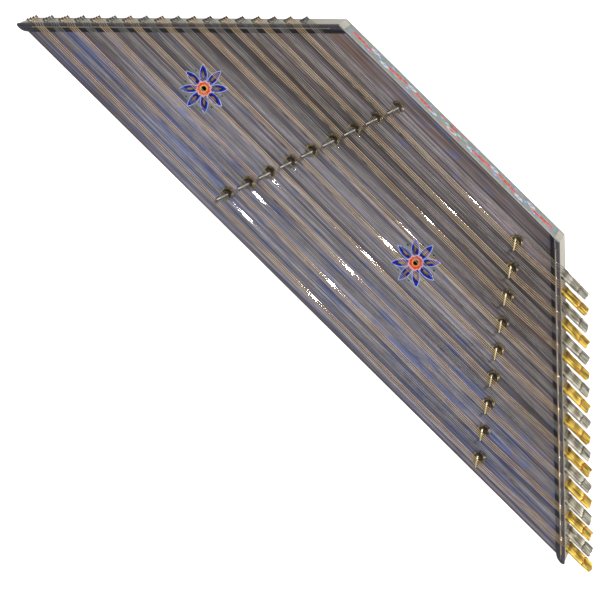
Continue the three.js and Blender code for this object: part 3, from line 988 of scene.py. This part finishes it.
def rose_spray(canvas, a, b, towards):
    """A long spray: a full rose, a half-open one and buds, tapering one way."""
    for step, drop, size in ((0, 0, 9.4), (11, 3, 7.4), (-9.5, -3, 6.4)):
        x = a + towards * step
        canvas.dab(x, b + drop, size, size, ROSE, lift=0.14, height=0.3, scallops=7)
        canvas.dab(x, b + drop, size * 0.62, size * 0.62, BAND_RED, lift=0.3, height=0.3, scallops=5)
        canvas.dab(x, b + drop, size * 0.26, size * 0.26, ORANGE, lift=0.5, height=0.25)
    for step, drop, size in ((17, 5.6, 3.4), (22, 7.8, 2.4), (-15.5, 6.4, 3.0)):
        x = a + towards * step
        canvas.dab(x, b + drop, size, size * 0.6, ROSE, lift=0.14, turn=0.4 * towards)
    leaves = ((-3, -11, 2.6), (6, -11, 0.5), (14, -6, 0.2), (-12, -6, 2.9), (3, 12.5, 1.2))
    for step, drop, angle in leaves:
        turn = angle if towards > 0 else pi - angle
        canvas.dab(a + towards * step, b + drop, 6.2, 2.2, BAND_TEAL, turn=turn)


def vine(canvas, side):
    """The scroll that weaves through one half of the band, with leaves at its turns."""
    middle_b = (BAND_LOW + BAND_HIGH) / 2
    sway = (BAND_HIGH - BAND_LOW) * 0.36
    count = 90
    points = []
    for i in range(count + 1):
        a = 16 + (BAND_HALF - 26) * i / count
        points.append((side * a, middle_b + sway * sin(a / 17.5)))
    canvas.stroke(points, 1.7, BAND_GREEN)
    for i in range(6, count, 7):
        a, b = points[i]
        tilt = atan2(points[i + 1][1] - b, points[i + 1][0] - a)
        turn = tilt + (0.9 if i % 2 else -0.9)
        pa, pb = a + 4.2 * cos(turn), b + 4.2 * sin(turn)
        canvas.dab(pa, pb, 4.2, 1.7, BAND_TEAL if i % 3 else BAND_GREEN, turn=turn)


def curl(canvas, a, b, size, turns, look, side):
    """A spiral tendril."""
    points = []
    count = int(22 * turns)
    for i in range(count + 1):
        angle = 2 * pi * turns * i / count
        r = size * (1 - 0.8 * i / count)
        points.append((a + side * r * cos(angle), b + r * sin(angle)))
    canvas.stroke(points, 1.9, look)


def painted_band(materials):
    """The flowers painted on the short side, the same to the left and right of its middle."""
    canvas = Canvas((0, REAR_Y, 0), (1, 0, 0), (0, 0, 1), (0, 1, 0))
    ground = []
    low, high = BAND_LOW + BAND_CORNER, BAND_HIGH - BAND_CORNER
    for quarter, (side, cb) in enumerate(((1, high), (-1, high), (-1, low), (1, low))):
        ca = side * (BAND_HALF - BAND_CORNER)
        for i in range(6):
            angle = radians(90 * quarter + 18 * i)
            ground.append((ca + BAND_CORNER * cos(angle), cb + BAND_CORNER * sin(angle)))
    canvas.plate(ground, 0.01, 0.09, 0.01, GROUND)
    border = [(-0.2, 0.02), (0.0, 0.22), (0.7, 0.22), (0.9, 0.02)]
    canvas.band([(a * 0.994, b) for a, b in ground], [(o - 1.4, h) for o, h in border], BAND_GREEN)
    # Painted highlight: a pale strip along the soundboard's edge above the band, for the light that edge
    # catches.
    edge_half = REAR_HALF - 1
    edge_loop = [(edge_half, 59.7), (-edge_half, 59.7), (-edge_half, 57.6), (edge_half, 57.6)]
    canvas.plate(edge_loop, 0.01, 0.2, 0.02, BOARD_EDGE_HIGHLIGHT)
    middle_b = (BAND_LOW + BAND_HIGH) / 2
    for side in (-1, 1):
        vine(canvas, side)
        for a, b, way in ((148, 0, -1), (88, -3, 1), (47, 1, -1)):
            rose_spray(canvas, side * a, middle_b + b, side * way)
        for a, b in ((127, -9), (109, 9), (67, -8), (31, 7)):
            small_flower(canvas, side * a, middle_b + b, 7.6, WHITE, BAND_BLUE)
        for a, b in ((135, 13), (119, -1), (72, 12), (100, -14), (38, -13)):
            small_flower(canvas, side * a, middle_b + b, 5.0, BAND_BLUE, WHITE, petals=5)
        curl(canvas, side * 162, middle_b - 6, 7.5, 1.4, BAND_TEAL, side)
        curl(canvas, side * 163, middle_b + 11, 5.5, 1.2, BAND_BLUE, side)
        curl(canvas, side * 76, middle_b + 2, 7.5, 1.3, BAND_TEAL, -side)
        for a, b, size in ((10, -3, 7), (19, -7, 5.4)):
            canvas.dab(side * a, middle_b + b, size, size * 0.8, BAND_TEAL, lift=0.14, scallops=6)
            canvas.dab(side * a, middle_b + b, size * 0.4, size * 0.34, WHITE, lift=0.34)
        canvas.dab(side * 16, middle_b - 17, 5.6, 3.4, ROSE, lift=0.14, scallops=5)
        canvas.dab(side * 11, middle_b + 15, 6.4, 2.6, ROSE, lift=0.14, turn=-0.4 * side)
    # (height above the middle, length, width, colour, lift, thickness, scallops)
    rose = [(8, 8.4, 8.0, WHITE, 0.2, 0.3, 9), (8, 5.6, 5.2, ROSE, 0.36, 0.3, 7)]
    rose += [(8, 2.8, 2.6, BAND_RED, 0.55, 0.3, 0)]
    bud = [(-12, 7.0, 5.0, BAND_RED, 0.2, 0.3, 7), (-12, 3.2, 2.4, ORANGE, 0.4, 0.25, 0)]
    for b, long, wide, look, lift, height, scallops in rose + bud:
        canvas.dab(0, middle_b + b, long, wide, look, lift, height, scallops=scallops)
    piece("painted_flower_band", canvas.shape, materials, "case", "painted_wood", sharp=50)


# ---- Case ----
def soften_edges(node, width_mm):
    """Rounds a CAD node's edges with modifiers; its own mesh stays as it is."""
    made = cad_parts[node]
    weld = made.modifiers.new("join_corners", "WELD")
    weld.merge_threshold = 0.01 * MM
    bevel = made.modifiers.new("soft_edges", "BEVEL")
    bevel.width = width_mm * MM
    bevel.segments = 2
    bevel.limit_method = "ANGLE"
    bevel.angle_limit = radians(30)


def finish_node(node, material):
    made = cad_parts[node]
    made.data.materials.clear()
    made.data.materials.append(material)


def dress_case():
    pale = ("#aca797", "#d2cdbe", "#e8e4d8")
    pale_along_x = wood("rail_wood", *pale)
    pale_left = wood("hitch_block_wood", *pale, turn=-SIDE_ANGLE)
    pale_right = wood("pin_block_wood", *pale, turn=SIDE_ANGLE)
    inner = wood("inner_wood", "#8a6b45", "#b99b6f", "#d8bf94", roughness=0.65)
    back = wood("back_board_wood", "#7c6c58", "#a3937c", "#c0b29a", roughness=0.6)
    finish_node("soundboard", soundboard_wood())
    finish_node("front_rail", pale_along_x)
    finish_node("rear_rail", pale_along_x)
    finish_node("hitch_block", pale_left)
    finish_node("pin_block", pale_right)
    finish_node("back_board", back)
    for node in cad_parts:
        if node.startswith("sound_post"):
            finish_node(node, inner)
    for node in ("front_rail", "rear_rail", "back_board"):
        soften_edges(node, 0.5)


# ---- Assembly ----
def build_instrument():
    brass_wire = wire("brass_wire", "#f0dcb8", "#cfae84")
    steel_wire = wire("steel_wire", "#bdb9b2", "#86827c")
    brass_pin = pin_metal("brass_pin_metal", "#ffe070", "#dcae40", "#8a6420")
    steel_pin = pin_metal("steel_pin_metal", "#dad6c6", "#a39c88", "#57523f")
    brass_groove = metal("brass_pin_groove", "#d2683e", 0.4, "#8a4a2c")
    steel_groove = metal("steel_pin_groove", "#6d685a", 0.4, "#4d493e")
    nail = metal("nail_metal", "#6d675e", 0.3, "#4a443c")
    rod_left = metal("left_rod_metal", "#857b6f", 0.42, "#5f574d")
    rod_right = metal("right_rod_metal", "#a08e7c", 0.45, "#775b48")
    gold_ring = gilt("gold_ring", "#a58a2c", "#14100a")
    steel_saddle = metal("steel_saddle_metal", "#d2cbbd", 0.3, "#a39c8e")
    # The saddles of the brass row are steel like the others, tinted warm as a painted reflection.
    saddle_warm_reflection = metal("saddle_warm_reflection_metal", "#d9c698", 0.3, "#a8935f")
    strip = strip_wood()
    turned_wood = bridge_wood()

    dress_case()
    strings("brass", brass_wire)
    strings("steel", steel_wire)
    tuning_pins("brass", brass_pin, brass_groove)
    tuning_pins("steel", steel_pin, steel_groove)
    hitch_nails(nail)
    nut_strip(-1, "left_nut_ridge", strip, "nut_strip_left")
    nut_strip(1, "right_nut_ridge", strip, "nut_strip_right")
    nut_rod(-1, "left_nut_rod", rod_left, "nut_rod_left", "steel")
    nut_rod(1, "right_nut_rod", rod_right, "nut_rod_right", "brass")
    for course in range(COURSES):
        saddle = saddle_warm_reflection if metal_of(course) == "brass" else steel_saddle
        bridge(course, turned_wood, gold_ring, saddle)
    rosette_paints = [paint(*colours, roughness=0.42, coat=0.05, shine=0.2) for colours in ROSETTE_COLOURS]
    for number, centre in enumerate(ROSETTES, 1):
        rosette(f"rosette_{number}", centre, rosette_paints)
    painted_band([paint(*colours, roughness=0.6, coat=0.0, shine=0.12) for colours in BAND_COLOURS])


# ---- Studio ----
HORIZON, ZENITH = 0.25, 1.05  # brightness of the surroundings
FLOOR_HALF = 14  # metres
LENS = 197.4  # focal length, mm


def floor():
    """A wide pale floor under the instrument."""
    mesh = bpy.data.meshes.new("floor")
    half = FLOOR_HALF
    corners = [(-half, -half, 0), (half, -half, 0), (half, half, 0), (-half, half, 0)]
    mesh.from_pydata(corners, [], [(0, 1, 2, 3)])
    made = add_object("floor", mesh)
    made.location.z = -0.3 * MM
    # The camera sees a white floor; the instrument is lit by a greyer one.
    look = Look("floor_look", Roughness=0.9)
    look.set("Base Color", (0.6, 0.6, 0.6, 1))
    look.set("Emission Color", (1, 1, 1, 1))
    seen = look.node("LightPath").outputs["Is Camera Ray"]
    look.set("Emission Strength", seen)
    mesh.materials.append(look.material)


def area_light(name, place, aim, size, power, colour=(1, 1, 1), long=None):
    """A round lamp, or a strip that runs long along Y."""
    lamp = bpy.data.lights.new(name, "AREA")
    lamp.shape = "RECTANGLE" if long else "DISK"
    lamp.size = size
    lamp.size_y = long or size
    lamp.energy = power
    lamp.color = colour
    made = add_object(name, lamp)
    made.location = place
    made.rotation_euler = (Vector(aim) - Vector(place)).to_track_quat("-Z", "Y").to_euler()


def studio():
    world = bpy.data.worlds.new("studio")
    bpy.context.scene.world = world
    world.use_nodes = True
    tree = world.node_tree
    background = tree.nodes["Background"]
    feed(tree, background.inputs["Color"], "#ffffff")
    # Brighter overhead than at the horizon, and white behind the instrument.
    direction = add_node(tree, "TexCoord").outputs["Generated"]
    height = add_node(tree, "SeparateXYZ", {0: direction}).outputs["Z"]
    levels = {0: height, 1: 0.0, 2: 1.0, 3: HORIZON, 4: ZENITH}
    overhead = add_node(tree, "MapRange", levels).outputs[0]
    seen = add_node(tree, "LightPath").outputs["Is Camera Ray"]
    strength = add_node(tree, "Math", {0: overhead, 1: seen}, operation="MAXIMUM")
    feed(tree, background.inputs["Strength"], strength.outputs[0])
    area_light("key", (3.4, 1.7, 2.6), (0, 0, 0), 0.9, 100)
    area_light("fill", (-2.4, -1.6, 2.4), (0, 0, 0), 2.0, 25)
    # A narrow strip lamp, mirrored as a short white glint by each string that slopes its way.
    place, aim = (-0.051, 0.893, 1.83), (-0.051, 0, 0.08)
    area_light("glint", place, aim, 0.008, 2.4, (0.95, 0.9, 1.0), long=0.45)


def camera():
    """Looks down on the playing side from beyond the short side, with a long lens."""
    lens = bpy.data.cameras.new("camera")
    lens.sensor_width = 36
    lens.lens = LENS
    made = add_object("camera", lens)
    place = Vector((4.1, 860.8, 3788.4)) * MM
    aim = Vector((12.8, -132.8, 60)) * MM
    picture_up = Vector((-0.703, 0.687, -0.185))
    back = (place - aim).normalized()
    right = picture_up.cross(back).normalized()
    up = back.cross(right)
    made.matrix_world = Matrix.Translation(place) @ Matrix((right, up, back)).transposed().to_4x4()
    bpy.context.scene.camera = made


build_instrument()
floor()
studio()
camera()
bpy.context.scene.view_settings.view_transform = "Standard"
